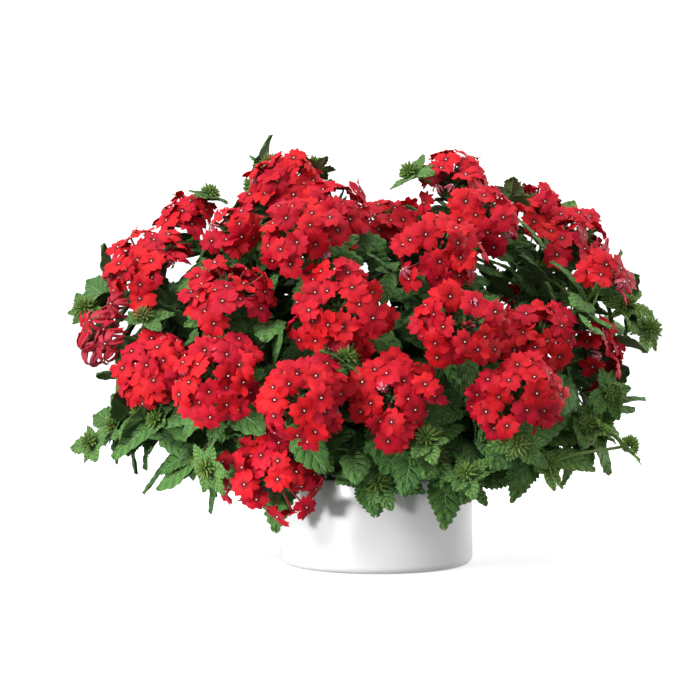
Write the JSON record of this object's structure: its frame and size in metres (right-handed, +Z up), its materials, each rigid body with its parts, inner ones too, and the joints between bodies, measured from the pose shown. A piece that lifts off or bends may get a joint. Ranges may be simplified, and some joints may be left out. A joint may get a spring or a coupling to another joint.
{
  "type": "potted verbena",
  "caption": "Red garden verbena in full flower in a low white cylinder pot, with domed flower heads over toothed leaves.",
  "frame": {"origin": "middle of the pot's underside, on the surface it stands on", "axes": "+Z up along the pot's axis, -Y towards the side that the picture shows, +X to the right of that side"},
  "size_m": [0.3779, 0.3213, 0.2763],
  "materials": {
    "white_glaze": "satin white",
    "potting_soil": "dark crumbly soil",
    "green_leaves": "matte hairy leaf",
    "red_petals": "velvety petal"
  },
  "bodies": {
    "root": {"pot": "white_glaze", "soil": "potting_soil", "shoot_01": "green_leaves", "shoot_02": "green_leaves", "shoot_03": "green_leaves", "shoot_04": "green_leaves", "shoot_05": "green_leaves", "shoot_06": "green_leaves", "shoot_07": "green_leaves", "shoot_08": "green_leaves", "shoot_09": "green_leaves", "shoot_10": "green_leaves", "shoot_11": "green_leaves", "shoot_12": "green_leaves", "shoot_13": "green_leaves", "shoot_14": "green_leaves", "shoot_15": "green_leaves", "shoot_16": "green_leaves", "shoot_17": "green_leaves", "shoot_18": "green_leaves", "shoot_19": "green_leaves", "shoot_20": "green_leaves", "shoot_21": "green_leaves", "shoot_22": "green_leaves", "shoot_23": "green_leaves", "head_01": "red_petals", "head_02": "red_petals", "head_03": "red_petals", "head_04": "red_petals", "head_05": "red_petals", "head_06": "red_petals", "head_07": "red_petals", "head_08": "red_petals", "head_09": "red_petals", "head_10": "red_petals", "head_11": "red_petals", "head_12": "red_petals", "head_13": "red_petals", "head_14": "red_petals", "head_15": "red_petals", "head_16": "red_petals", "head_17": "red_petals", "head_18": "red_petals", "head_19": "red_petals", "head_20": "red_petals", "head_21": "red_petals", "head_22": "red_petals", "head_23": "red_petals", "head_24": "red_petals", "head_25": "red_petals", "head_26": "red_petals", "head_27": "red_petals", "head_28": "red_petals", "head_29": "red_petals", "head_30": "red_petals", "head_31": "red_petals"}
  },
  "joints": []
}
